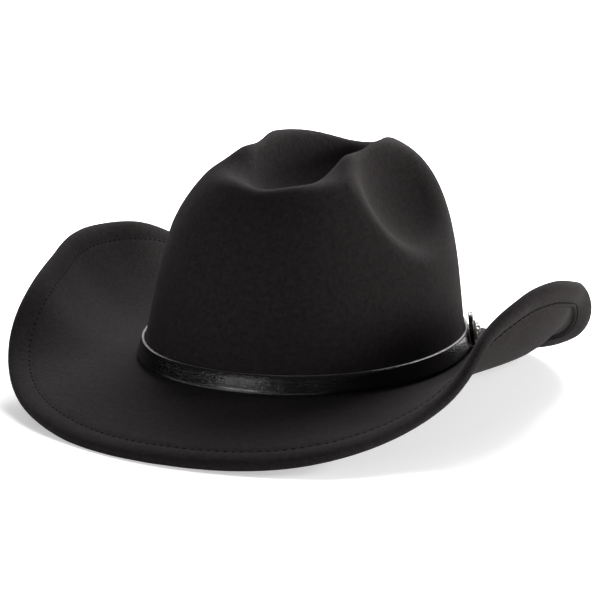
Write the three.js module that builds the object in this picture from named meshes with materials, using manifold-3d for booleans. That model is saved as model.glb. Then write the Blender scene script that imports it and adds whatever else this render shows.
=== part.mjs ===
// Felt cowboy hat with a creased crown, rolled brim, leather band and concho.
// Millimetres, +Z up. The front of the hat faces -Y and the wearer's left side is +X.
// The hat stands on the lowest stretch of its brim, front and back, at Z = 0.
import * as THREE from 'three';
import { mergeVertices } from 'three/addons/utils/BufferGeometryUtils.js';
import Module from 'manifold-3d';

const wasm = await Module();
wasm.setup();

// Crown
const CROWN_HALF_WIDTH = 84;
const CROWN_HALF_LENGTH = 103;
const CROWN_HEIGHT = 118;
const CROWN_TAPER = 13.5;
const CROWN_LEAN = 10.5;
const FLARE_WIDTH = 2;
const FLARE_HEIGHT = 14;
const BREAK_RADIUS = 2.5;
const BRIM_START = FLARE_WIDTH + BREAK_RADIUS;
const FELT_THICKNESS = 2;
const DENT_ROUNDING = 8;
const OVAL_POWER = 2.1;
const CROWN_POWER = 3.7;

// Brim and its folded hem, which is stitched over a shaping wire
const BRIM_WIDTH = 84;
const HEM_WIDTH = 13;
const HEM_THICKNESS = 6.4;
const HEM_BEND_LENGTH = 6;
const HEM_DROOP = 8;
const CURL_GROWTH = 1.2;
const REST_FLAT = 1.2;

// Leather band round the foot of the crown
const BAND_HEIGHT = 9.5;
const BAND_THICKNESS = 1.6;
const BAND_LIFT = 1.6;
const BAND_CLEARANCE = 0.5;
const BAND_EDGE = 0.4;

// Leather rosette and silver concho on the wearer's left
const CONCHO_TURN = 120;
const ROSETTE_DIAMETER = 19;
const ROSETTE_THICKNESS = 2.4;
const ROSETTE_LIFT = 0.9;
const ROSETTE_TILT = 8;
const CONCHO_DIAMETER = 13;
const CONCHO_RIM = 1.6;
const CONCHO_DOME = 2.4;
const ROPE_STRANDS = 24;
const PETALS = 8;
const PETAL_RELIEF = 0.35;
const POST_DIAMETER = 3;
const GAP = 0.3;

// How finely the curved pieces are faceted
const TURN_STEPS = 60;
const CROWN_STEPS = 24;
const CROWN_SAMPLES = 240;
const BREAK_STEPS = 3;
const BRIM_STEPS = 9;
const ARC_SAMPLES = 60;

// The brim all the way round: turn is the angle from the front towards the wearer's left,
// width a share of BRIM_WIDTH, and root and edge the brim's slope in degrees at the crown
// and at its outer edge.
const BRIM_SECTIONS = [
  { turn: -160, width: 0.93, root: -13, edge: -21 },
  { turn: -140, width: 0.95, root: 0, edge: 36 },
  { turn: -120, width: 1.00, root: 5, edge: 77 },
  { turn: -105, width: 1.04, root: 8, edge: 77 },
  { turn: -90, width: 1.02, root: 5, edge: 82 },
  { turn: -75, width: 0.93, root: 6, edge: 75 },
  { turn: -60, width: 0.88, root: 5, edge: 58 },
  { turn: -45, width: 0.87, root: -1, edge: 11 },
  { turn: -22, width: 0.91, root: -5, edge: -12 },
  { turn: 0, width: 0.97, root: -8, edge: -9 },
  { turn: 22, width: 0.95, root: -4, edge: -6 },
  { turn: 45, width: 0.77, root: -3, edge: 30 },
  { turn: 60, width: 0.84, root: 2, edge: 82 },
  { turn: 75, width: 0.96, root: 5, edge: 96 },
  { turn: 90, width: 1.03, root: -1, edge: 101 },
  { turn: 105, width: 1.02, root: -9, edge: 99 },
  { turn: 120, width: 0.96, root: -12, edge: 84 },
  { turn: 140, width: 0.88, root: -14, edge: 17 },
  { turn: 160, width: 0.92, root: -14, edge: -22 },
  { turn: 180, width: 0.98, root: -11, edge: -20 },
];

// The dents pressed into the crown, each an ellipsoid. x and width are shares of
// CROWN_HALF_WIDTH, y and length of CROWN_HALF_LENGTH, z and depth of CROWN_HEIGHT,
// and tip is the dent's pitch in degrees.
const DENTS = [
  { name: 'centre crease', x: 0, y: -0.02, z: 1.23, width: 0.37, length: 0.82, depth: 0.57, tip: -14 },
  { name: 'crease front', x: 0, y: -0.42, z: 1.12, width: 0.70, length: 0.28, depth: 0.27, tip: 0 },
  { name: 'left dent', x: 0.95, y: -0.03, z: 1.07, width: 0.56, length: 0.55, depth: 0.54, tip: 0 },
  { name: 'right dent', x: -0.95, y: -0.03, z: 1.07, width: 0.56, length: 0.55, depth: 0.54, tip: 0 },
];

// The hem in section, from the brim's top surface round the edge to the raw edge below:
// inward is a share of HEM_WIDTH and depth a share of HEM_THICKNESS.
const HEM_SECTION = [
  { inward: 0.70, depth: -0.06 },
  { inward: 0.42, depth: -0.12 },
  { inward: 0.20, depth: -0.06 },
  { inward: 0.07, depth: 0.10 },
  { inward: 0.00, depth: 0.38 },
  { inward: 0.05, depth: 0.64 },
  { inward: 0.18, depth: 0.84 },
  { inward: 0.40, depth: 0.88 },
  { inward: 0.66, depth: 0.74 },
  { inward: 0.86, depth: 0.62 },
  { inward: 1.00, depth: 0.60 },
];

const radians = THREE.MathUtils.degToRad;

// Smooth interpolation through the rows of BRIM_SECTIONS, closed on itself.
function brimSection(turn) {
  const rows = BRIM_SECTIONS;
  const count = rows.length;
  const row = (i) => rows[((i % count) + count) % count];
  const angle = (i) => row(i).turn + 360 * Math.floor(i / count);
  let degrees = THREE.MathUtils.radToDeg(turn);
  degrees -= 360 * Math.floor((degrees - rows[0].turn) / 360);
  let i = 0;
  while (angle(i + 1) <= degrees) i += 1;
  const span = angle(i + 1) - angle(i);
  const t = (degrees - angle(i)) / span;
  const value = (key) => {
    const slope = (j) => {
      const before = angle(j) - angle(j - 1);
      const after = angle(j + 1) - angle(j);
      const rise = (row(j)[key] - row(j - 1)[key]) / before;
      const next = (row(j + 1)[key] - row(j)[key]) / after;
      return (rise * after + next * before) / (before + after);
    };
    const a = row(i)[key];
    const b = row(i + 1)[key];
    return a * (1 + 2 * t) * (1 - t) ** 2 + slope(i) * span * t * (1 - t) ** 2
      + b * t * t * (3 - 2 * t) + slope(i + 1) * span * t * t * (t - 1);
  };
  return { width: value('width') * BRIM_WIDTH, root: radians(value('root')), edge: radians(value('edge')) };
}

// The crown's oval at its foot, with its outward normal.
function oval(turn) {
  const point = (angle) => {
    const side = Math.abs(Math.sin(angle) / CROWN_HALF_WIDTH) ** OVAL_POWER;
    const end = Math.abs(Math.cos(angle) / CROWN_HALF_LENGTH) ** OVAL_POWER;
    const radius = (side + end) ** (-1 / OVAL_POWER);
    return new THREE.Vector2(radius * Math.sin(angle), -radius * Math.cos(angle));
  };
  const step = 1e-4;
  const along = point(turn + step).sub(point(turn - step)).normalize();
  const at = point(turn);
  return { x: at.x, y: at.y, nx: along.y, ny: -along.x };
}

// The crown before it is dented, at a height above the break.
function wall(turn, height) {
  const foot = oval(turn);
  const rise = Math.min(height / CROWN_HEIGHT, 1);
  const round = (1 - rise ** CROWN_POWER) ** (1 / CROWN_POWER);
  const narrow = 1 - (CROWN_TAPER / CROWN_HALF_WIDTH) * rise;
  const flare = (FLARE_WIDTH / Math.hypot(foot.x, foot.y)) * Math.exp(-height / FLARE_HEIGHT);
  const scale = round * (narrow + flare);
  return new THREE.Vector3(foot.x * scale, foot.y * scale + CROWN_LEAN * rise, height);
}

// Signed distance to a dent's ellipsoid, near enough for shaping felt.
function dentDistance(point, dent) {
  const size = new THREE.Vector3(
    dent.width * CROWN_HALF_WIDTH,
    dent.length * CROWN_HALF_LENGTH,
    dent.depth * CROWN_HEIGHT,
  );
  const centre = new THREE.Vector3(
    dent.x * CROWN_HALF_WIDTH,
    dent.y * CROWN_HALF_LENGTH,
    dent.z * CROWN_HEIGHT,
  );
  const local = point.clone().sub(centre);
  local.applyAxisAngle(new THREE.Vector3(1, 0, 0), -radians(dent.tip));
  const near = local.clone().divide(size);
  const slope = near.clone().divide(size).length();
  return (near.length() * (near.length() - 1)) / Math.max(slope, 1e-9);
}

// The larger of two distances, rounded where they meet.
function roundedMax(a, b, rounding) {
  const mix = THREE.MathUtils.clamp(0.5 + (0.5 * (a - b)) / rounding, 0, 1);
  return b + (a - b) * mix + rounding * mix * (1 - mix);
}

// The dented crown: a point of the wall drawn towards the middle of the head until it
// meets the dents.
function crownPoint(turn, height) {
  const outside = wall(turn, height);
  if (height < BAND_LIFT + BAND_HEIGHT) return outside;
  const middle = new THREE.Vector3(0, 0, 0);
  const ray = outside.clone().sub(middle);
  const felt = (share) => {
    const point = middle.clone().addScaledVector(ray, share);
    let distance = (share - 1) * ray.length();
    for (const dent of DENTS) {
      distance = roundedMax(distance, -dentDistance(point, dent), DENT_ROUNDING);
    }
    return distance;
  };
  let low = 0.3;
  let high = 1.1;
  for (let i = 0; i < 30; i += 1) {
    const share = (low + high) / 2;
    if (felt(share) < 0) low = share;
    else high = share;
  }
  return middle.addScaledVector(ray, Math.min(low, 1));
}

// The brim's top surface, at a distance across it from the crown's oval. The slope grows
// from root to edge, and the hem droops below it.
function brimPoint(turn, across) {
  const foot = wall(turn, 0);
  const { nx, ny } = oval(turn);
  const { width, root, edge } = brimSection(turn);
  const span = across - BRIM_START;
  let out = BREAK_RADIUS;
  let up = 0;
  for (let i = 0; i < ARC_SAMPLES; i += 1) {
    const at = BRIM_START + ((i + 0.5) / ARC_SAMPLES) * span;
    const bend = THREE.MathUtils.smoothstep(at, width - HEM_WIDTH - HEM_BEND_LENGTH / 2,
      width - HEM_WIDTH + HEM_BEND_LENGTH / 2);
    const slope = root + (edge - root) * (at / width) ** CURL_GROWTH - radians(HEM_DROOP) * bend;
    out += (Math.cos(slope) * span) / ARC_SAMPLES;
    up += (Math.sin(slope) * span) / ARC_SAMPLES;
  }
  return new THREE.Vector3(foot.x + nx * out, foot.y + ny * out, up);
}

// The small fillet between crown and brim; t runs from the wall to the brim.
function breakPoint(turn, t) {
  const { nx, ny } = oval(turn);
  const angle = (t * Math.PI) / 2;
  const out = BREAK_RADIUS * (1 - Math.cos(angle));
  const up = BREAK_RADIUS * (1 - Math.sin(angle));
  const foot = wall(turn, up);
  return new THREE.Vector3(foot.x + nx * out, foot.y + ny * out, up);
}

// Points down the dented crown at one turn, from its top to the break, evenly spaced
// along the felt.
function crownProfile(turn) {
  const fine = [];
  for (let i = 0; i <= CROWN_SAMPLES; i += 1) {
    const lift = Math.sin((Math.PI / 2) * (1 - i / CROWN_SAMPLES));
    const height = CROWN_HEIGHT * lift ** (2 / CROWN_POWER);
    fine.push(crownPoint(turn, Math.max(height, BREAK_RADIUS)));
  }
  const lengths = [0];
  for (let i = 1; i < fine.length; i += 1) {
    lengths.push(lengths[i - 1] + fine[i].distanceTo(fine[i - 1]));
  }
  const points = [];
  for (let k = 0; k <= CROWN_STEPS; k += 1) {
    const target = (k / CROWN_STEPS) * lengths[CROWN_SAMPLES];
    let i = 1;
    while (i < CROWN_SAMPLES && lengths[i] < target) i += 1;
    const share = (target - lengths[i - 1]) / (lengths[i] - lengths[i - 1] || 1);
    points.push(fine[i - 1].clone().lerp(fine[i], Math.min(share, 1)));
  }
  return points;
}

const turns = Array.from({ length: TURN_STEPS }, (_, i) => (i / TURN_STEPS) * 2 * Math.PI);

// The rows of points of the felt's upper side, from the top of the crown to the hem.
function outerRows() {
  const profiles = turns.map(crownProfile);
  const rows = [];
  for (let k = 1; k <= CROWN_STEPS; k += 1) {
    rows.push(profiles.map((profile) => profile[k]));
  }
  for (let k = 1; k < BREAK_STEPS; k += 1) {
    rows.push(turns.map((turn) => breakPoint(turn, k / BREAK_STEPS)));
  }
  for (let k = 0; k <= BRIM_STEPS; k += 1) {
    rows.push(turns.map((turn) => {
      const reach = brimSection(turn).width - HEM_WIDTH - BRIM_START;
      return brimPoint(turn, BRIM_START + (k / BRIM_STEPS) * reach);
    }));
  }
  return rows;
}

// The normal of a surface that is given row by row, by differences between neighbours.
function rowNormals(rows, top) {
  return rows.map((row, k) => row.map((point, i) => {
    const above = k > 0 ? rows[k - 1][i] : top;
    const below = rows[Math.min(k + 1, rows.length - 1)][i];
    const before = row[(i + TURN_STEPS - 1) % TURN_STEPS];
    const after = row[(i + 1) % TURN_STEPS];
    const down = below.clone().sub(above);
    const round = after.clone().sub(before);
    return down.cross(round).normalize();
  }));
}

// A solid skin over rows of points that close at a pole at both ends.
function poleToPole(firstPole, rows, lastPole) {
  const positions = [firstPole, ...rows.flat(), lastPole].flatMap((p) => [p.x, p.y, p.z]);
  const index = [];
  const at = (k, i) => 1 + k * TURN_STEPS + (i % TURN_STEPS);
  const end = 1 + rows.length * TURN_STEPS;
  for (let i = 0; i < TURN_STEPS; i += 1) {
    index.push(0, at(0, i), at(0, i + 1));
    for (let k = 0; k + 1 < rows.length; k += 1) {
      index.push(at(k, i), at(k + 1, i), at(k + 1, i + 1));
      index.push(at(k, i), at(k + 1, i + 1), at(k, i + 1));
    }
    index.push(end, at(rows.length - 1, i + 1), at(rows.length - 1, i));
  }
  return asGeometry(positions, index);
}

// A solid ring swept round the crown: each row is one edge of its section.
function closedRing(rows) {
  const positions = rows.flat().flatMap((p) => [p.x, p.y, p.z]);
  const index = [];
  const at = (k, i) => (k % rows.length) * TURN_STEPS + (i % TURN_STEPS);
  for (let k = 0; k < rows.length; k += 1) {
    for (let i = 0; i < TURN_STEPS; i += 1) {
      index.push(at(k, i), at(k + 1, i), at(k + 1, i + 1));
      index.push(at(k, i), at(k + 1, i + 1), at(k, i + 1));
    }
  }
  return asGeometry(positions, index);
}

function asGeometry(positions, index) {
  const geometry = new THREE.BufferGeometry();
  geometry.setAttribute('position', new THREE.Float32BufferAttribute(positions, 3));
  geometry.setIndex(index);
  return geometry;
}

// The felt: upper side, round the hem, then the underside a felt's thickness below.
function feltRows() {
  const top = crownPoint(0, CROWN_HEIGHT);
  const outer = outerRows();
  const normals = rowNormals(outer, top);
  const hem = HEM_SECTION.map(({ inward, depth }) => turns.map((turn) => {
    const width = brimSection(turn).width;
    const across = width - inward * HEM_WIDTH;
    const step = 0.05;
    const point = brimPoint(turn, across);
    const outward = brimPoint(turn, across + step).sub(point);
    const round = brimPoint(turn + step / width, across).sub(point);
    const normal = outward.cross(round).normalize();
    return point.addScaledVector(normal, -depth * HEM_THICKNESS);
  }));
  const inner = outer.map((row, k) => row.map((point, i) => (
    point.clone().addScaledVector(normals[k][i], -FELT_THICKNESS))));
  const foot = inner.pop();
  return {
    top,
    bottom: top.clone().add(new THREE.Vector3(0, 0, -FELT_THICKNESS)),
    rows: [...outer, ...hem, foot, ...inner.reverse()],
  };
}

// How the hat tips to stand level on the lowest points of its front and back brim.
function levelled(rows) {
  const lowest = (side) => {
    const points = rows.flat().filter((p) => p.y * side > 0);
    return points.reduce((low, p) => (p.z < low.z ? p : low));
  };
  const front = lowest(-1);
  const back = lowest(1);
  const pitch = Math.atan2(back.z - front.z, back.y - front.y);
  const tip = new THREE.Matrix4().makeRotationX(-pitch);
  const lift = -front.clone().applyMatrix4(tip).z - REST_FLAT;
  return new THREE.Matrix4().makeTranslation(0, 0, lift).multiply(tip);
}

const felt = feltRows();
const level = levelled(felt.rows);

function feltBody() {
  const settle = (point) => {
    const placed = point.clone().applyMatrix4(level);
    placed.z = Math.max(placed.z, 0);
    return placed;
  };
  return poleToPole(settle(felt.top), felt.rows.map((row) => row.map(settle)), settle(felt.bottom));
}

// A place on the band: height up it and distance out from the felt.
function bandPoint(turn, height, out) {
  const at = wall(turn, BAND_LIFT + height);
  const { nx, ny } = oval(turn);
  return new THREE.Vector3(at.x + nx * (BAND_CLEARANCE + out), at.y + ny * (BAND_CLEARANCE + out), at.z);
}

function hatBand() {
  const section = [
    [BAND_HEIGHT, 0],
    [BAND_HEIGHT, BAND_THICKNESS - BAND_EDGE],
    [BAND_HEIGHT - BAND_EDGE, BAND_THICKNESS],
    [BAND_EDGE, BAND_THICKNESS],
    [0, BAND_THICKNESS - BAND_EDGE],
    [0, 0],
  ];
  return closedRing(section.map(([height, out]) => turns.map((turn) => bandPoint(turn, height, out))));
}

// The rosette's own frame: its back lies against the outermost edge of the band, with
// local Z pointing out of the hat.
function rosetteFrame() {
  const turn = radians(CONCHO_TURN);
  const { nx, ny } = oval(turn);
  const tilt = radians(ROSETTE_TILT);
  const outward = new THREE.Vector3(nx * Math.cos(tilt), ny * Math.cos(tilt), Math.sin(tilt));
  const across = new THREE.Vector3(-ny, nx, 0);
  const upward = outward.clone().cross(across);
  const touch = bandPoint(turn, BAND_EDGE, BAND_THICKNESS);
  const centreHeight = ROSETTE_DIAMETER / 2 + ROSETTE_LIFT - touch.z;
  const origin = touch.addScaledVector(upward, centreHeight).addScaledVector(outward, GAP);
  return new THREE.Matrix4().makeBasis(across, upward, outward).setPosition(origin);
}

// How far below the rosette's centre the post goes through the band.
const POST_DROP = ROSETTE_DIAMETER / 2 + ROSETTE_LIFT - BAND_LIFT - BAND_HEIGHT / 2;

function cylinder(diameter, from, to, x, y) {
  const shape = new THREE.CylinderGeometry(diameter / 2, diameter / 2, to - from, 16);
  shape.rotateX(Math.PI / 2);
  shape.translate(x, y, (from + to) / 2);
  return shape;
}

function solid(geometry) {
  const bare = geometry.clone();
  bare.deleteAttribute('normal');
  bare.deleteAttribute('uv');
  const merged = mergeVertices(bare);
  return new wasm.Manifold(new wasm.Mesh({
    numProp: 3,
    vertProperties: new Float32Array(merged.attributes.position.array),
    triVerts: new Uint32Array(merged.index.array),
  }));
}

function fromSolid(manifold) {
  const mesh = manifold.getMesh();
  return asGeometry(Array.from(mesh.vertProperties), Array.from(mesh.triVerts));
}

// The post starts inside the band and is soldered to the back of the concho.
const POST_LENGTH = BAND_THICKNESS + GAP + ROSETTE_THICKNESS + GAP;
const HOLE_DIAMETER = POST_DIAMETER + 2 * GAP;

function rosetteGeometry() {
  const radius = ROSETTE_DIAMETER / 2;
  const profile = [
    new THREE.Vector2(0, 0),
    new THREE.Vector2(radius, 0),
    new THREE.Vector2(radius, ROSETTE_THICKNESS * 0.6),
    new THREE.Vector2(radius - ROSETTE_THICKNESS * 0.4, ROSETTE_THICKNESS),
    new THREE.Vector2(0, ROSETTE_THICKNESS),
  ];
  const disc = new THREE.LatheGeometry(profile, 40).rotateX(Math.PI / 2);
  const hole = cylinder(HOLE_DIAMETER, -1, ROSETTE_THICKNESS + 1, 0, -POST_DROP);
  return fromSolid(solid(disc).subtract(solid(hole)));
}

// A domed silver disc with raised petals and a roped rim, on its post.
function conchoGeometry() {
  const steps = ROPE_STRANDS * 2;
  const radius = CONCHO_DIAMETER / 2;
  const inside = radius - CONCHO_RIM;
  const back = ROSETTE_THICKNESS + GAP;
  const rings = [
    { r: radius, z: 0 },
    { r: radius, z: CONCHO_RIM * 0.5 },
    { r: radius - CONCHO_RIM * 0.35, z: CONCHO_RIM, rope: 1 },
    { r: inside, z: CONCHO_RIM * 0.6 },
    { r: inside * 0.7, z: CONCHO_RIM * 0.6 + CONCHO_DOME * 0.55, petal: 1 },
    { r: inside * 0.35, z: CONCHO_RIM * 0.6 + CONCHO_DOME * 0.9 },
  ];
  const positions = [0, 0, back];
  for (const ring of rings) {
    for (let i = 0; i < steps; i += 1) {
      const angle = (i / steps) * 2 * Math.PI;
      const rope = (ring.rope ?? 0) * (i % 2 ? 0 : -CONCHO_RIM * 0.3);
      const petal = (ring.petal ?? 0) * PETAL_RELIEF * Math.cos(PETALS * angle);
      positions.push(ring.r * Math.cos(angle), ring.r * Math.sin(angle), back + ring.z + rope + petal);
    }
  }
  positions.push(0, 0, back + CONCHO_RIM * 0.6 + CONCHO_DOME);
  const index = [];
  const at = (k, i) => 1 + k * steps + (i % steps);
  const end = 1 + rings.length * steps;
  for (let i = 0; i < steps; i += 1) {
    index.push(0, at(0, i + 1), at(0, i));
    for (let k = 0; k + 1 < rings.length; k += 1) {
      index.push(at(k, i), at(k, i + 1), at(k + 1, i + 1));
      index.push(at(k, i), at(k + 1, i + 1), at(k + 1, i));
    }
    index.push(at(rings.length - 1, i), at(rings.length - 1, i + 1), end);
  }
  const dome = asGeometry(positions, index);
  const post = cylinder(POST_DIAMETER, back - POST_LENGTH, back + CONCHO_RIM * 0.3, 0, -POST_DROP);
  return fromSolid(solid(dome).add(solid(post)));
}

// The band has a hole for the concho's post.
function boredBand(frame) {
  const reach = 4 * BAND_THICKNESS;
  const bore = cylinder(HOLE_DIAMETER, -reach, reach, 0, -POST_DROP).applyMatrix4(frame);
  return fromSolid(solid(hatBand()).subtract(solid(bore)));
}

const FELT = new THREE.MeshStandardMaterial({ color: 0x1b1818, roughness: 0.95, metalness: 0 });
const LEATHER = new THREE.MeshStandardMaterial({ color: 0x0c0a0a, roughness: 0.35, metalness: 0 });
const SILVER = new THREE.MeshStandardMaterial({ color: 0xb9b7b2, roughness: 0.3, metalness: 1 });

function piece(name, geometry, material) {
  const mesh = new THREE.Mesh(geometry, material);
  mesh.name = name;
  return mesh;
}

const frame = rosetteFrame();
const ornament = new THREE.Group();
ornament.applyMatrix4(level.clone().multiply(frame));
ornament.add(piece('rosette', rosetteGeometry(), LEATHER));
ornament.add(piece('concho', conchoGeometry(), SILVER));

const hat = new THREE.Group();
hat.add(piece('felt_body', feltBody(), FELT));
hat.add(piece('hat_band', boredBand(frame).applyMatrix4(level), LEATHER));
hat.add(ornament);

// The origin is under the middle of the hat.
const middle = new THREE.Box3().setFromObject(hat, true).getCenter(new THREE.Vector3());
hat.position.set(-middle.x, -middle.y, 0);

export default hat;
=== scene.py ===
"""A black felt cowboy hat: creased crown, curled brim, leather band and silver concho."""

import math

import bpy
import numpy as np
from mathutils import Matrix, Vector


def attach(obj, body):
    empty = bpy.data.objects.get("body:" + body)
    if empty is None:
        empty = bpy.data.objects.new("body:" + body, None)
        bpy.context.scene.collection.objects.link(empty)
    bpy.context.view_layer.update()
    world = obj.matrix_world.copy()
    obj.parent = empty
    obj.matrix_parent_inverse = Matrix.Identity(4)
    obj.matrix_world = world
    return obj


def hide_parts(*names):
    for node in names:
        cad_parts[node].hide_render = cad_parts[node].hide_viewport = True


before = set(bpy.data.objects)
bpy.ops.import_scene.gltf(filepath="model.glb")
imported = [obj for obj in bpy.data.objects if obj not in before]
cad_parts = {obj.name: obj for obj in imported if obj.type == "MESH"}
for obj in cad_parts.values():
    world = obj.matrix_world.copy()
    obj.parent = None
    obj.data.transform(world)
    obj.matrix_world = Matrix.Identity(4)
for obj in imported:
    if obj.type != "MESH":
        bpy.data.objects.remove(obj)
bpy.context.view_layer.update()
MM = 0.001

# Crown, in millimetres
CROWN_HALF_WIDTH = 84
CROWN_HALF_LENGTH = 103
CROWN_HEIGHT = 118
CROWN_TAPER = 13.5
CROWN_LEAN = 10.5
FLARE_WIDTH = 2
FLARE_HEIGHT = 14
BREAK_RADIUS = 2.5
BRIM_START = FLARE_WIDTH + BREAK_RADIUS
FELT_THICKNESS = 2
DENT_ROUNDING = 8
OVAL_POWER = 2.1
CROWN_POWER = 3.7

# Brim and its folded hem
BRIM_WIDTH = 84
HEM_WIDTH = 13
HEM_THICKNESS = 6.4
HEM_BEND_LENGTH = 6
HEM_DROOP = 8
CURL_GROWTH = 1.2
REST_FLAT = 1.2

# Stitches through the hem
STITCH_INSET = 11.3
STITCH_PITCH = 4.2
STITCH_LENGTH = 2.7
STITCH_WIDTH = 0.75
STITCH_VALLEY = 0.45
STITCH_VALLEY_WIDTH = 1.3
STITCH_SINK = 0.6
STITCH_HUMP = 0.6
STITCH_UNDER_DEPTH = 0.66
THREAD_TIP = 0.12
THREAD_FULLNESS = 0.6

# Leather band
BAND_HEIGHT = 9.5
BAND_THICKNESS = 1.6
BAND_LIFT = 1.6
BAND_CLEARANCE = 0.5
BAND_EDGE = 0.45

# The two tacks at the front of the band, by their turn in degrees
TACK_TURNS = (-2.7, -0.3)
TACK_HEIGHT = 6.2
TACK_LENGTH = 1.7
TACK_WIDTH = 0.8
TACK_HUMP = 0.4

# Leather rosette and silver concho on the wearer's left
CONCHO_TURN = 120
ROSETTE_DIAMETER = 19
ROSETTE_THICKNESS = 2.4
ROSETTE_LIFT = 0.9
ROSETTE_TILT = 8
CONCHO_DIAMETER = 13
CONCHO_RIM = 1.6
CONCHO_DOME = 2.4
ROPE_STRANDS = 24
PETALS = 8
PETAL_RELIEF = 0.35
GAP = 0.3

# Mesh density
TURN_STEPS = 360
CROWN_STEPS = 76
CROWN_SAMPLES = 320
BREAK_STEPS = 5
BRIM_STEPS = 36
HEM_STEPS = 31
ARC_SAMPLES = 90
SEAM_SAMPLES = 2400
DENT_HALVINGS = 26
ROSETTE_STEPS = 96
CONCHO_STEPS = 288

# The brim all the way round: turn from the front towards the wearer's left, width as a share
# of BRIM_WIDTH, and its slope in degrees at the crown and at the outer edge
BRIM_SECTIONS = [
    # turn, width, root, edge
    (-160, 0.93, -13, -21),
    (-140, 0.95, 0, 36),
    (-120, 1.00, 5, 77),
    (-105, 1.04, 8, 77),
    (-90, 1.02, 5, 82),
    (-75, 0.93, 6, 75),
    (-60, 0.88, 5, 58),
    (-45, 0.87, -1, 11),
    (-22, 0.91, -5, -12),
    (0, 0.97, -8, -9),
    (22, 0.95, -4, -6),
    (45, 0.77, -3, 30),
    (60, 0.84, 2, 82),
    (75, 0.96, 5, 96),
    (90, 1.03, -1, 101),
    (105, 1.02, -9, 99),
    (120, 0.96, -12, 84),
    (140, 0.88, -14, 17),
    (160, 0.92, -14, -22),
    (180, 0.98, -11, -20),
]

# The dents in the crown, as ellipsoids in shares of the crown's half width, half length and height
DENTS = [
    # x, y, z, width, length, depth, tip in degrees
    (0, -0.02, 1.23, 0.37, 0.82, 0.57, -14),
    (0, -0.42, 1.12, 0.70, 0.28, 0.27, 0),
    (0.95, -0.03, 1.07, 0.56, 0.55, 0.54, 0),
    (-0.95, -0.03, 1.07, 0.56, 0.55, 0.54, 0),
]

# The hem in section: inward from the edge as a share of HEM_WIDTH, depth of HEM_THICKNESS
HEM_SECTION = [
    # inward, depth
    (1.00, 0.00),
    (0.70, -0.06),
    (0.42, -0.12),
    (0.20, -0.06),
    (0.07, 0.10),
    (0.00, 0.38),
    (0.05, 0.64),
    (0.18, 0.84),
    (0.40, 0.88),
    (0.66, 0.74),
    (0.86, 0.62),
    (1.00, 0.60),
]


def smoothstep(value, low, high):
    share = np.clip((value - low) / (high - low), 0, 1)
    return share * share * (3 - 2 * share)


def brim_section(turn):
    """Width, root slope and edge slope of the brim at each turn, smooth and closed on itself."""
    rows = np.array(BRIM_SECTIONS, float)
    rows = np.vstack([rows[-2:], rows, rows[:3]])
    rows[:2, 0] -= 360
    rows[-3:, 0] += 360
    angle = rows[:, 0]
    degrees = (np.degrees(turn) - BRIM_SECTIONS[0][0]) % 360 + BRIM_SECTIONS[0][0]
    i = np.searchsorted(angle, degrees, side="right") - 1
    span = angle[i + 1] - angle[i]
    t = (degrees - angle[i]) / span
    values = []
    for column in (1, 2, 3):
        value = rows[:, column]
        rise = np.diff(value) / np.diff(angle)
        step = np.diff(angle)
        slope = np.zeros(len(rows))
        slope[1:-1] = (rise[:-1] * step[1:] + rise[1:] * step[:-1]) / (step[1:] + step[:-1])
        values.append(
            value[i] * (1 + 2 * t) * (1 - t) ** 2
            + slope[i] * span * t * (1 - t) ** 2
            + value[i + 1] * t * t * (3 - 2 * t)
            + slope[i + 1] * span * t * t * (t - 1)
        )
    return values[0] * BRIM_WIDTH, np.radians(values[1]), np.radians(values[2])


def oval_point(turn):
    side = np.abs(np.sin(turn) / CROWN_HALF_WIDTH) ** OVAL_POWER
    end = np.abs(np.cos(turn) / CROWN_HALF_LENGTH) ** OVAL_POWER
    radius = (side + end) ** (-1 / OVAL_POWER)
    return radius * np.sin(turn), -radius * np.cos(turn)


def oval(turn):
    """The crown's oval at its foot, with its outward normal."""
    x, y = oval_point(turn)
    ahead = oval_point(turn + 1e-4)
    behind = oval_point(turn - 1e-4)
    dx = ahead[0] - behind[0]
    dy = ahead[1] - behind[1]
    length = np.hypot(dx, dy)
    return x, y, dy / length, -dx / length


def wall(turn, height):
    """The crown before it is dented, at a height above the break."""
    x, y, _, _ = oval(turn)
    rise = np.minimum(height / CROWN_HEIGHT, 1)
    round_off = (1 - rise**CROWN_POWER) ** (1 / CROWN_POWER)
    narrow = 1 - CROWN_TAPER / CROWN_HALF_WIDTH * rise
    flare = FLARE_WIDTH / np.hypot(x, y) * np.exp(-height / FLARE_HEIGHT)
    scale = round_off * (narrow + flare)
    return np.stack([x * scale, y * scale + CROWN_LEAN * rise, height + 0 * x], -1)


def dent_distance(point, dent):
    """Signed distance to a dent's ellipsoid, near enough for shaping felt."""
    x, y, z, width, length, depth, tip = dent
    unit = np.array([CROWN_HALF_WIDTH, CROWN_HALF_LENGTH, CROWN_HEIGHT])
    local = point - np.array([x, y, z]) * unit
    size = np.array([width, length, depth]) * unit
    c = math.cos(math.radians(tip))
    s = math.sin(math.radians(tip))
    along = local[..., 1] * c + local[..., 2] * s
    upright = local[..., 2] * c - local[..., 1] * s
    turned = np.stack([local[..., 0], along, upright], -1)
    near = np.linalg.norm(turned / size, axis=-1)
    slope = np.linalg.norm(turned / size**2, axis=-1)
    return near * (near - 1) / np.maximum(slope, 1e-9)


def rounded_max(a, b, rounding):
    """The larger of two distances, rounded where they meet."""
    mix = np.clip(0.5 + 0.5 * (a - b) / rounding, 0, 1)
    return b + (a - b) * mix + rounding * mix * (1 - mix)


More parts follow.
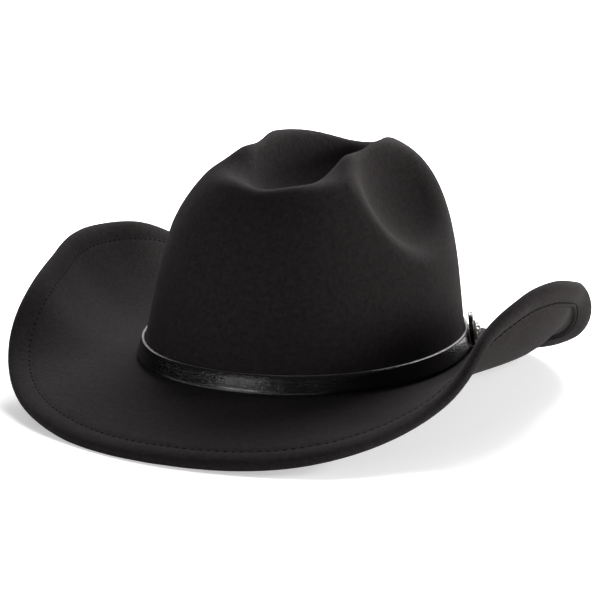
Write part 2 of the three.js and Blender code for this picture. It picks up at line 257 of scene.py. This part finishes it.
def crown_point(turn, height):
    """A point of the wall drawn towards the middle of the head until it meets the dents."""
    ray = wall(turn, height)
    reach = np.linalg.norm(ray, axis=-1)
    low = np.full(reach.shape, 0.3)
    high = np.full(reach.shape, 1.1)
    for _ in range(DENT_HALVINGS):
        share = (low + high) / 2
        distance = (share - 1) * reach
        for dent in DENTS:
            distance = rounded_max(distance, -dent_distance(ray * share[..., None], dent), DENT_ROUNDING)
        inside = distance < 0
        low = np.where(inside, share, low)
        high = np.where(inside, high, share)
    share = np.where(height < BAND_LIFT + BAND_HEIGHT, 1, np.minimum(low, 1))
    return ray * share[..., None]


def brim_point(turn, across):
    """The brim's top surface, at a distance across it from the crown's oval."""
    foot = wall(turn, 0 * turn)
    _, _, nx, ny = oval(turn)
    width, root, edge = brim_section(turn)
    span = across - BRIM_START
    out = np.full(turn.shape, float(BREAK_RADIUS))
    up = np.zeros(turn.shape)
    bend_start = width - HEM_WIDTH - HEM_BEND_LENGTH / 2
    for i in range(ARC_SAMPLES):
        at = BRIM_START + (i + 0.5) / ARC_SAMPLES * span
        bend = smoothstep(at, bend_start, bend_start + HEM_BEND_LENGTH)
        slope = root + (edge - root) * (at / width) ** CURL_GROWTH - math.radians(HEM_DROOP) * bend
        out = out + np.cos(slope) * span / ARC_SAMPLES
        up = up + np.sin(slope) * span / ARC_SAMPLES
    return np.stack([foot[..., 0] + nx * out, foot[..., 1] + ny * out, up], -1)


def brim_normal(turn, across):
    """The brim's upward normal."""
    width, _, _ = brim_section(turn)
    step = 0.05
    point = brim_point(turn, across)
    outward = brim_point(turn, across + step) - point
    around = brim_point(turn + step / width, across) - point
    normal = np.cross(outward, around)
    return normal / np.linalg.norm(normal, axis=-1, keepdims=True)


def break_point(turn, t):
    """The small fillet between crown and brim."""
    _, _, nx, ny = oval(turn)
    out = BREAK_RADIUS * (1 - math.cos(t * math.pi / 2))
    up = BREAK_RADIUS * (1 - math.sin(t * math.pi / 2))
    foot = wall(turn, up + 0 * turn)
    return np.stack([foot[..., 0] + nx * out, foot[..., 1] + ny * out, foot[..., 2]], -1)


def crown_rows(turn):
    """Rows down the dented crown, from its top to the break, evenly spaced along the felt."""
    lift = np.sin(math.pi / 2 * (1 - np.arange(CROWN_SAMPLES + 1) / CROWN_SAMPLES))
    heights = np.maximum(CROWN_HEIGHT * lift ** (2 / CROWN_POWER), BREAK_RADIUS)
    fine = np.stack([crown_point(turn, h + 0 * turn) for h in heights])
    lengths = np.cumsum(np.linalg.norm(np.diff(fine, axis=0), axis=-1), axis=0)
    lengths = np.vstack([np.zeros((1, len(turn))), lengths])
    rows = np.zeros((CROWN_STEPS + 1, len(turn), 3))
    for i in range(len(turn)):
        target = np.linspace(0, lengths[-1, i], CROWN_STEPS + 1)
        for axis in range(3):
            rows[:, i, axis] = np.interp(target, lengths[:, i], fine[:, i, axis])
    return rows


def row_normals(rows):
    """Normals of a surface given row by row, by differences between neighbours."""
    down = np.gradient(rows, axis=0)
    around = np.roll(rows, -1, axis=1) - np.roll(rows, 1, axis=1)
    normal = np.cross(down, around)
    return normal / np.maximum(np.linalg.norm(normal, axis=-1, keepdims=True), 1e-9)


def spline(points, steps):
    """Points evenly spaced in index along a smooth curve through the given ones."""
    points = np.array(points, float)
    padded = np.vstack([2 * points[0] - points[1], points, 2 * points[-1] - points[-2]])
    made = []
    for at in np.linspace(0, len(points) - 1, steps):
        i = min(int(at), len(points) - 2)
        t = at - i
        a, b, c, d = padded[i : i + 4]
        bend = (2 * a - 5 * b + 4 * c - d) * t**2 + (3 * b - a - 3 * c + d) * t**3
        made.append(0.5 * (2 * b + (c - a) * t + bend))
    return np.array(made)


def stitch_valley(inward):
    """How far the felt is drawn in by the stitches, by distance from the edge."""
    return STITCH_VALLEY * np.exp(-(((inward - STITCH_INSET) / STITCH_VALLEY_WIDTH) ** 2))


turns = np.arange(TURN_STEPS) / TURN_STEPS * 2 * math.pi
edge_width, _, _ = brim_section(turns)

# The felt's upper side, its hem and its underside
crown = crown_rows(turns)
fillet = np.stack([break_point(turns, k / BREAK_STEPS) for k in range(1, BREAK_STEPS)])
brim_reach = edge_width - HEM_WIDTH - BRIM_START
across_brim = [BRIM_START + k / BRIM_STEPS * brim_reach for k in range(BRIM_STEPS + 1)]
brim = np.stack([brim_point(turns, across) for across in across_brim])
outer = np.concatenate([crown, fillet, brim])
outer_normals = row_normals(outer)
outer_normals[0] = (0, 0, 1)

hem = []
for inward_share, depth_share in spline(HEM_SECTION, HEM_STEPS)[1:]:
    inward = inward_share * HEM_WIDTH
    depth = depth_share * HEM_THICKNESS
    drawn = stitch_valley(inward) * (1 if depth_share < 0.3 else -1)
    point = brim_point(turns, edge_width - inward)
    hem.append(point - brim_normal(turns, edge_width - inward) * (depth + drawn))
hem = np.array(hem)
inner = (outer - outer_normals * FELT_THICKNESS)[::-1]
felt_points = np.concatenate([outer, hem, inner])


def lowest(side):
    points = felt_points.reshape(-1, 3)
    points = points[points[:, 1] * side > 0]
    return points[points[:, 2].argmin()]


# The hat tips to stand level on the lowest points of its front and back brim
front_low = lowest(-1)
back_low = lowest(1)
pitch = math.atan2(back_low[2] - front_low[2], back_low[1] - front_low[1])
tip_hat = np.array(Matrix.Rotation(-pitch, 3, "X"))
lift_hat = -(tip_hat @ front_low)[2] - REST_FLAT


def levelled(points):
    return np.array(points, float) @ tip_hat.T + np.array([0, 0, lift_hat])


felt_points = levelled(felt_points)
felt_points[..., 2] = np.maximum(felt_points[..., 2], 0)
flat_points = felt_points.reshape(-1, 3)
middle = (flat_points.max(0) + flat_points.min(0)) / 2 * np.array([1, 1, 0])


def placed(points):
    """Points of the design frame as points of the hat that stands on the floor, in metres."""
    return (levelled(points) - middle) * MM


def mesh_object(name, vertices, faces, material, smooth=True):
    mesh = bpy.data.meshes.new(name)
    mesh.from_pydata([tuple(v) for v in vertices], [], faces)
    mesh.validate()
    mesh.polygons.foreach_set("use_smooth", [smooth] * len(mesh.polygons))
    mesh.materials.append(material)
    made = bpy.data.objects.new(name, mesh)
    bpy.context.scene.collection.objects.link(made)
    return made


def grid_faces(rows, columns, closed_rows=False, flip=False):
    """Quads over rows of points that close round each row."""
    faces = []
    for k in range(rows if closed_rows else rows - 1):
        below = (k + 1) % rows
        for i in range(columns):
            after = (i + 1) % columns
            face = (k * columns + i, below * columns + i, below * columns + after, k * columns + after)
            faces.append(face[::-1] if flip else face)
    return faces


# Materials


class Shader:
    """A small helper that adds nodes to one material."""

    def __init__(self, name):
        self.material = bpy.data.materials.new(name)
        self.material.use_nodes = True
        self.nodes = self.material.node_tree.nodes
        self.links = self.material.node_tree.links
        self.surface = self.nodes["Principled BSDF"]
        self.place = self.nodes.new("ShaderNodeTexCoord").outputs["Object"]

    def add(self, kind, inputs=None, **settings):
        node = self.nodes.new(kind)
        for key, value in settings.items():
            setattr(node, key, value)
        for key, value in (inputs or {}).items():
            if isinstance(value, bpy.types.NodeSocket):
                self.links.new(value, node.inputs[key])
            else:
                node.inputs[key].default_value = value
        return node

    def noise(self, scale, detail, roughness):
        inputs = {"Vector": self.place, "Scale": scale, "Detail": detail, "Roughness": roughness}
        return self.add("ShaderNodeTexNoise", inputs).outputs["Fac"]

    def span(self, value, low, high, start, end):
        inputs = {"Value": value, "From Min": low, "From Max": high, "To Min": start, "To Max": end}
        return self.add("ShaderNodeMapRange", inputs).outputs["Result"]

    def mix(self, share, a, b):
        node = self.add("ShaderNodeMix", data_type="RGBA")
        for index, value in ((0, share), (6, a), (7, b)):
            if isinstance(value, bpy.types.NodeSocket):
                self.links.new(value, node.inputs[index])
            else:
                node.inputs[index].default_value = value
        return node.outputs[2]

    def bump(self, height, distance, strength=1.0, normal=None):
        inputs = {"Height": height, "Distance": distance, "Strength": strength}
        if normal is not None:
            inputs["Normal"] = normal
        return self.add("ShaderNodeBump", inputs).outputs["Normal"]

    def set(self, **values):
        for key, value in values.items():
            socket = self.surface.inputs[key.replace("_", " ")]
            if isinstance(value, bpy.types.NodeSocket):
                self.links.new(value, socket)
            else:
                socket.default_value = value


FELT_DARK = (0.0090, 0.0074, 0.0077, 1)
FELT_LIGHT = (0.0260, 0.0228, 0.0232, 1)
SHEEN_TINT = (0.62, 0.57, 0.56, 1)
LEATHER_DARK = (0.0010, 0.0009, 0.0010, 1)
LEATHER_LIGHT = (0.0025, 0.0022, 0.0024, 1)
CUT_DARK = (0.14, 0.135, 0.13, 1)
CUT_LIGHT = (0.34, 0.33, 0.32, 1)
SILVER_DARK = (0.05, 0.047, 0.043, 1)
SILVER_LIGHT = (0.66, 0.65, 0.62, 1)
THREAD_DARK = (0.002, 0.002, 0.002, 1)
THREAD_LIGHT = (0.006, 0.0055, 0.0055, 1)
FLOOR_WHITE = (0.8, 0.8, 0.8, 1)


def felt_material():
    felt = Shader("felt")
    fibres = felt.noise(2600, 5, 0.75)
    mottle = felt.noise(420, 4, 0.65)
    wear = felt.noise(28, 3, 0.5)
    shade = felt.add("ShaderNodeMath", {0: fibres, 1: 0.55}, operation="MULTIPLY").outputs[0]
    blotch = felt.add("ShaderNodeMath", {0: mottle, 1: 0.45}, operation="MULTIPLY").outputs[0]
    total = felt.add("ShaderNodeMath", {0: shade, 1: blotch}, operation="ADD").outputs[0]
    colour = felt.mix(felt.span(total, 0.32, 0.68, 0, 1), FELT_DARK, FELT_LIGHT)
    fine = felt.bump(fibres, 0.00022, 0.8)
    coarse = felt.bump(mottle, 0.00035, 0.7, fine)
    broad = felt.bump(wear, 0.0016, 0.35, coarse)
    felt.set(Base_Color=colour, Roughness=1.0, Specular_IOR_Level=0.05, Normal=broad)
    felt.set(Sheen_Weight=0.05, Sheen_Roughness=0.35, Sheen_Tint=SHEEN_TINT)
    return felt.material


def leather_material():
    leather = Shader("band_leather")
    grain = leather.add(
        "ShaderNodeTexVoronoi", {"Vector": leather.place, "Scale": 900.0}, feature="DISTANCE_TO_EDGE"
    ).outputs["Distance"]
    pores = leather.noise(1500, 3, 0.6)
    scuffs = leather.noise(60, 5, 0.7)
    colour = leather.mix(leather.span(scuffs, 0.4, 0.7, 0, 1), LEATHER_DARK, LEATHER_LIGHT)
    creases = leather.bump(leather.span(grain, 0, 0.12, 0, 1), 0.00006, 0.5)
    pitted = leather.bump(pores, 0.00005, 0.5, creases)
    gloss = leather.span(scuffs, 0.3, 0.75, 0.14, 0.22)
    leather.set(Base_Color=colour, Roughness=gloss, Specular_IOR_Level=0.5, Normal=pitted)
    return leather.material


def cut_leather_material():
    cut = Shader("cut_leather")
    fuzz = cut.noise(1800, 4, 0.7)
    colour = cut.mix(fuzz, CUT_DARK, CUT_LIGHT)
    cut.set(Base_Color=colour, Roughness=0.75, Normal=cut.bump(fuzz, 0.0002, 0.7))
    return cut.material


def silver_material():
    silver = Shader("silver")
    recess = silver.add("ShaderNodeNewGeometry").outputs["Pointiness"]
    tarnish = silver.noise(700, 4, 0.6)
    worn = silver.span(recess, 0.46, 0.53, 0, 1)
    colour = silver.mix(worn, SILVER_DARK, SILVER_LIGHT)
    rough = silver.span(tarnish, 0.3, 0.7, 0.22, 0.4)
    pitted = silver.bump(tarnish, 0.00005, 0.4)
    silver.set(Base_Color=colour, Metallic=1.0, Roughness=rough, Normal=pitted)
    return silver.material


def thread_material():
    thread = Shader("thread")
    twist = thread.noise(3000, 2, 0.5)
    colour = thread.mix(twist, THREAD_DARK, THREAD_LIGHT)
    twisted = thread.bump(twist, 0.0001, 0.5)
    thread.set(Base_Color=colour, Roughness=0.85, Specular_IOR_Level=0.12, Normal=twisted)
    return thread.material


FELT = felt_material()
LEATHER = leather_material()
CUT_LEATHER = cut_leather_material()
SILVER = silver_material()
THREAD = thread_material()

# Felt
felt_rows = (felt_points - middle) * MM
top_point = felt_rows[0, 0]
bottom_point = felt_rows[-1, 0]
body_rows = felt_rows[1:-1]
felt_vertices = np.vstack([body_rows.reshape(-1, 3), top_point[None], bottom_point[None]])
felt_faces = grid_faces(len(body_rows), TURN_STEPS)
count = len(body_rows) * TURN_STEPS
for i in range(TURN_STEPS):
    after = (i + 1) % TURN_STEPS
    felt_faces.append((count, i, after))
    last = count - TURN_STEPS
    felt_faces.append((count + 1, last + after, last + i))
felt_hat = mesh_object("felt_hat", felt_vertices, felt_faces, FELT)
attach(felt_hat, "root")
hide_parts("felt_body")

# Band


def band_point(turn, height, out):
    at = wall(turn, BAND_LIFT + height + 0 * turn)
    _, _, nx, ny = oval(turn)
    push = BAND_CLEARANCE + out
    return np.stack([at[..., 0] + nx * push, at[..., 1] + ny * push, at[..., 2]], -1)


# The band in section, from the crown round its top edge, face and lower edge
BAND_SECTION = [
    # height, out
    (BAND_HEIGHT, 0),
    (BAND_HEIGHT, BAND_THICKNESS * 0.5),
    (BAND_HEIGHT, BAND_THICKNESS - BAND_EDGE),
    (BAND_HEIGHT - BAND_EDGE * 0.3, BAND_THICKNESS - BAND_EDGE * 0.3),
    (BAND_HEIGHT - BAND_EDGE, BAND_THICKNESS),
    (BAND_HEIGHT * 0.75, BAND_THICKNESS),
    (BAND_HEIGHT * 0.5, BAND_THICKNESS),
    (BAND_HEIGHT * 0.25, BAND_THICKNESS),
    (BAND_EDGE, BAND_THICKNESS),
    (BAND_EDGE * 0.3, BAND_THICKNESS - BAND_EDGE * 0.3),
    (0, BAND_THICKNESS - BAND_EDGE),
    (0, 0),
]
# Its cut edges: rows of faces below the first number, and from the second on
BAND_CUT_TOP = 2
BAND_CUT_FOOT = 10
band_rows = placed(np.stack([band_point(turns, height, out) for height, out in BAND_SECTION]))
band = mesh_object(
    "leather_band",
    band_rows.reshape(-1, 3),
    grid_faces(len(BAND_SECTION), TURN_STEPS, closed_rows=True),
    LEATHER,
)
band.data.materials.append(CUT_LEATHER)
for polygon in band.data.polygons:
    row = polygon.index // TURN_STEPS
    if row < BAND_CUT_TOP or row >= BAND_CUT_FOOT:
        polygon.material_index = 1
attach(band, "root")
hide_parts("hat_band")

# Stitches and tacks


def capsule(start, end, up, width, height, segments=6, rings=5):
    """A short thread from start to end that is humped along up."""
    along = end - start
    length = np.linalg.norm(along)
    along = along / length
    across = np.cross(up, along)
    across = across / np.linalg.norm(across)
    lift = np.cross(along, across)
    vertices = []
    for k in range(rings):
        t = k / (rings - 1)
        swell = math.sin(math.pi * (THREAD_TIP + (1 - 2 * THREAD_TIP) * t)) ** THREAD_FULLNESS
        rise = height * (math.sin(math.pi * t) - 0.5)
        centre = start + along * length * t + lift * rise
        for j in range(segments):
            angle = 2 * math.pi * j / segments
            offset = across * math.cos(angle) + lift * math.sin(angle)
            vertices.append(centre + offset * width / 2 * swell)
    faces = []
    for k in range(rings - 1):
        near = k * segments
        far = near + segments
        for j in range(segments):
            after = (j + 1) % segments
            faces.append((near + j, near + after, far + after, far + j))
    faces.append(tuple(range(segments))[::-1])
    faces.append(tuple(range((rings - 1) * segments, rings * segments)))
    return vertices, faces


def threads_object(name, threads):
    """One object of many short threads, each given by its vertices and faces."""
    vertices = []
    faces = []
    for made, made_faces in threads:
        faces += [tuple(index + len(vertices) for index in face) for face in made_faces]
        vertices += made
    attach(mesh_object(name, vertices, faces, THREAD), "root")


def seam_line(depth_share):
    """Points of the stitch line at fine turns, and the normals there."""
    fine = np.linspace(0, 2 * math.pi, SEAM_SAMPLES + 1)[:-1]
    width, _, _ = brim_section(fine)
    point = brim_point(fine, width - STITCH_INSET)
    normal = brim_normal(fine, width - STITCH_INSET)
    return point - normal * depth_share * HEM_THICKNESS, normal


def stitches(name, depth_share, side):
    """A row of stitches along the hem, on its upper side (1) or its underside (-1)."""
    points, normals = seam_line(depth_share)
    points = placed(points + normals * side * -STITCH_VALLEY * STITCH_SINK)
    closed = np.vstack([points, points[:1]])
    lengths = np.concatenate([[0], np.cumsum(np.linalg.norm(np.diff(closed, axis=0), axis=-1))])
    number = round(lengths[-1] / (STITCH_PITCH * MM))
    pitch_length = lengths[-1] / number
    share = STITCH_LENGTH / STITCH_PITCH / 2
    width = STITCH_WIDTH * MM
    threads = []

    def at(distance, table):
        table = np.vstack([table, table[:1]])
        along = distance % lengths[-1]
        return np.array([np.interp(along, lengths, table[:, axis]) for axis in range(3)])

    for k in range(number):
        start = at((k - share) * pitch_length, points)
        end = at((k + share) * pitch_length, points)
        up = at(k * pitch_length, normals) * side
        threads.append(capsule(start, end, up, width, width * STITCH_HUMP))
    threads_object(name, threads)


def tack(degrees):
    turn = np.array([math.radians(degrees)])
    centre = band_point(turn, TACK_HEIGHT, BAND_THICKNESS)[0]
    outward = np.array([value[0] for value in oval(turn)[2:]] + [0])
    along = np.array([-outward[1], outward[0], 0]) * TACK_LENGTH / 2
    width = TACK_WIDTH * MM
    return capsule(placed(centre - along), placed(centre + along), outward, width, width * TACK_HUMP)


stitches("stitches_top", 0.0, 1)
stitches("stitches_under", STITCH_UNDER_DEPTH, -1)
threads_object("band_tacks", [tack(degrees) for degrees in TACK_TURNS])

# Rosette and concho


def rosette_frame():
    turn = np.array([math.radians(CONCHO_TURN)])
    nx, ny = (value[0] for value in oval(turn)[2:])
    tilt = math.radians(ROSETTE_TILT)
    outward = np.array([nx * math.cos(tilt), ny * math.cos(tilt), math.sin(tilt)])
    across = np.array([-ny, nx, 0])
    upward = np.cross(outward, across)
    touch = band_point(turn, BAND_EDGE, BAND_THICKNESS)[0]
    centre_height = ROSETTE_DIAMETER / 2 + ROSETTE_LIFT - touch[2]
    origin = placed(touch + upward * centre_height + outward * GAP)
    axes = tip_hat @ np.stack([across, upward, outward], -1)
    return Matrix([[*row, place] for row, place in zip(axes, origin)] + [[0, 0, 0, 1]])


ornament = rosette_frame()


def turned_piece(name, rings, steps, material):
    """A closed piece of rings in the ornament's frame, each giving radius and height by angle."""
    angles = np.arange(steps) / steps * 2 * math.pi
    vertices = []
    for ring in rings:
        radius, height = ring(angles)
        vertices += [
            ornament @ Vector((r * math.cos(a) * MM, r * math.sin(a) * MM, z * MM))
            for a, r, z in zip(angles, radius, height)
        ]
    faces = grid_faces(len(rings), steps, flip=True)
    faces.append(tuple(range(steps))[::-1])
    faces.append(tuple(range((len(rings) - 1) * steps, len(rings) * steps)))
    made = mesh_object(name, vertices, faces, material)
    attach(made, "root")
    return made


def plain_ring(radius, height):
    return lambda angles: (radius + 0 * angles, height + 0 * angles)


# The rosette's two layers of leather in section, with the seam between them
rosette_radius = ROSETTE_DIAMETER / 2
ROSETTE_SECTION = [
    # radius, height
    (rosette_radius * 0.5, 0),
    (rosette_radius - 0.25, 0),
    (rosette_radius, 0.25),
    (rosette_radius, ROSETTE_THICKNESS * 0.45),
    (rosette_radius - 0.12, ROSETTE_THICKNESS * 0.5),
    (rosette_radius, ROSETTE_THICKNESS * 0.55),
    (rosette_radius - 0.1, ROSETTE_THICKNESS - 0.35),
    (rosette_radius - 0.5, ROSETTE_THICKNESS),
    (rosette_radius * 0.5, ROSETTE_THICKNESS),
]
rosette_rings = [plain_ring(radius, height) for radius, height in ROSETTE_SECTION]
rosette = turned_piece("leather_rosette", rosette_rings, ROSETTE_STEPS, LEATHER)
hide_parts("rosette")

concho_radius = CONCHO_DIAMETER / 2
concho_inside = concho_radius - CONCHO_RIM
concho_back = ROSETTE_THICKNESS + GAP


def rope_ring(share):
    """One row of the roped rim; share runs over the rim from outside to inside."""

    def ring(angles):
        strand = 0.5 + 0.5 * np.cos(ROPE_STRANDS * angles + share * 3.0)
        round_rise = math.sin(math.pi * share)
        radius = concho_radius - CONCHO_RIM * (share + 0.15 * (1 - strand) * (0.5 - share))
        rise = CONCHO_RIM * 0.55 * round_rise * (0.55 + 0.45 * strand)
        return radius, concho_back + CONCHO_RIM * 0.45 + rise

    return ring


def petal_ring(share):
    """One row of the dome inside the rim; share runs from the rim to the middle."""

    def ring(angles):
        petal = np.cos(PETALS * angles)
        swell = math.sin(math.pi * min(1, share * 1.25)) ** 2
        groove = -PETAL_RELIEF * 1.3 * np.exp(-((petal + 1) ** 2) / 0.08) * swell
        dome = CONCHO_DOME * math.sin(math.pi / 2 * share)
        height = concho_back + CONCHO_RIM * 0.6 + dome + PETAL_RELIEF * petal * swell * 0.8 + groove
        return concho_inside * (1 - share) + 0 * angles, height

    return ring


concho_rings = [plain_ring(concho_radius * 0.4, concho_back), plain_ring(concho_radius, concho_back)]
concho_rings += [rope_ring(k / 8) for k in range(9)]
concho_rings += [petal_ring(k / 16) for k in range(1, 16)]
concho = turned_piece("silver_concho", concho_rings, CONCHO_STEPS, SILVER)
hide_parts("concho")

# Floor, light and camera
FLOOR_HALF = 60
floor_shader = Shader("floor")
floor_shader.set(Base_Color=FLOOR_WHITE, Roughness=0.9, Specular_IOR_Level=0.1)
floor_shader.set(Emission_Color=(1, 1, 1, 1), Emission_Strength=0.45)
floor_corners = [(x * FLOOR_HALF, y * FLOOR_HALF, 0) for x, y in ((-1, -1), (1, -1), (1, 1), (-1, 1))]
floor = mesh_object("floor", floor_corners, [(0, 1, 2, 3)], floor_shader.material, smooth=False)

# The studio is dark at the horizon and light overhead
SKY_LOW = 0.01
SKY_HIGH = 0.16
SKY_FADE = (0.10, 0.55)
world = bpy.data.worlds.new("studio")
world.use_nodes = True
sky = world.node_tree.nodes
direction = sky.new("ShaderNodeTexCoord").outputs["Generated"]
height = sky.new("ShaderNodeSeparateXYZ")
rise = sky.new("ShaderNodeMapRange")
rise.inputs["From Min"].default_value = SKY_FADE[0]
rise.inputs["From Max"].default_value = SKY_FADE[1]
rise.inputs["To Min"].default_value = SKY_LOW
rise.inputs["To Max"].default_value = SKY_HIGH
world.node_tree.links.new(direction, height.inputs["Vector"])
world.node_tree.links.new(height.outputs["Z"], rise.inputs["Value"])
world.node_tree.links.new(rise.outputs["Result"], sky["Background"].inputs["Strength"])
sky["Background"].inputs["Color"].default_value = (1, 1, 1, 1)
bpy.context.scene.world = world


def area_light(name, place, target, size, power):
    data = bpy.data.lights.new(name, "AREA")
    data.shape = "RECTANGLE"
    data.size, data.size_y = size
    data.energy = power
    light = bpy.data.objects.new(name, data)
    light.location = place
    light.rotation_mode = "QUATERNION"
    light.rotation_quaternion = (Vector(target) - Vector(place)).to_track_quat("-Z", "Y")
    bpy.context.scene.collection.objects.link(light)


HAT_MIDDLE = (0, 0, 0.06)
area_light("right", (1.23, 0.67, 0.42), HAT_MIDDLE, (0.6, 0.4), 24)
area_light("back", (-0.22, 1.10, 1.20), HAT_MIDDLE, (1.1, 0.6), 50)
area_light("front", (-0.3, -1.6, 0.30), HAT_MIDDLE, (0.75, 0.09), 4.5)
area_light("backdrop", (-1.6, 3.6, 2.2), (-1.6, 3.6, 0), (5.0, 3.6), 170)

CAMERA_AZIMUTH = 24
CAMERA_ELEVATION = 14.5
CAMERA_DISTANCE = 1.3
CAMERA_ROLL = 1
CAMERA_FOCAL_PIXELS = 2346
AIM_PIXEL = (306, 348)
PHOTO_SIZE = 600
SENSOR_WIDTH = 36
CLIP_END = 200

# The camera looks at the hat from the photograph's angle, so it tips with the hat
azimuth = math.radians(CAMERA_AZIMUTH)
elevation = math.radians(CAMERA_ELEVATION)
toward_camera = np.array(
    [math.sin(azimuth) * math.cos(elevation), -math.cos(azimuth) * math.cos(elevation), math.sin(elevation)]
)
back = Vector(tip_hat @ toward_camera)
up = Vector(tip_hat @ np.array([0, 0, 1]))
aim = Vector(placed(np.zeros(3)))
camera_data = bpy.data.cameras.new("camera")
camera_data.sensor_width = SENSOR_WIDTH
camera_data.lens = CAMERA_FOCAL_PIXELS / PHOTO_SIZE * SENSOR_WIDTH
camera_data.shift_x = (PHOTO_SIZE / 2 - AIM_PIXEL[0]) / PHOTO_SIZE
camera_data.shift_y = (AIM_PIXEL[1] - PHOTO_SIZE / 2) / PHOTO_SIZE
camera_data.clip_end = CLIP_END
camera = bpy.data.objects.new("camera", camera_data)
camera.rotation_mode = "QUATERNION"
camera.location = aim + back * CAMERA_DISTANCE
right = up.cross(back).normalized()
straight = Matrix([right, back.cross(right), back]).transposed()
roll = Matrix.Rotation(math.radians(CAMERA_ROLL), 3, back)
camera.rotation_quaternion = (roll @ straight).to_quaternion()
bpy.context.scene.collection.objects.link(camera)
bpy.context.scene.camera = camera
bpy.context.scene.view_settings.view_transform = "Standard"
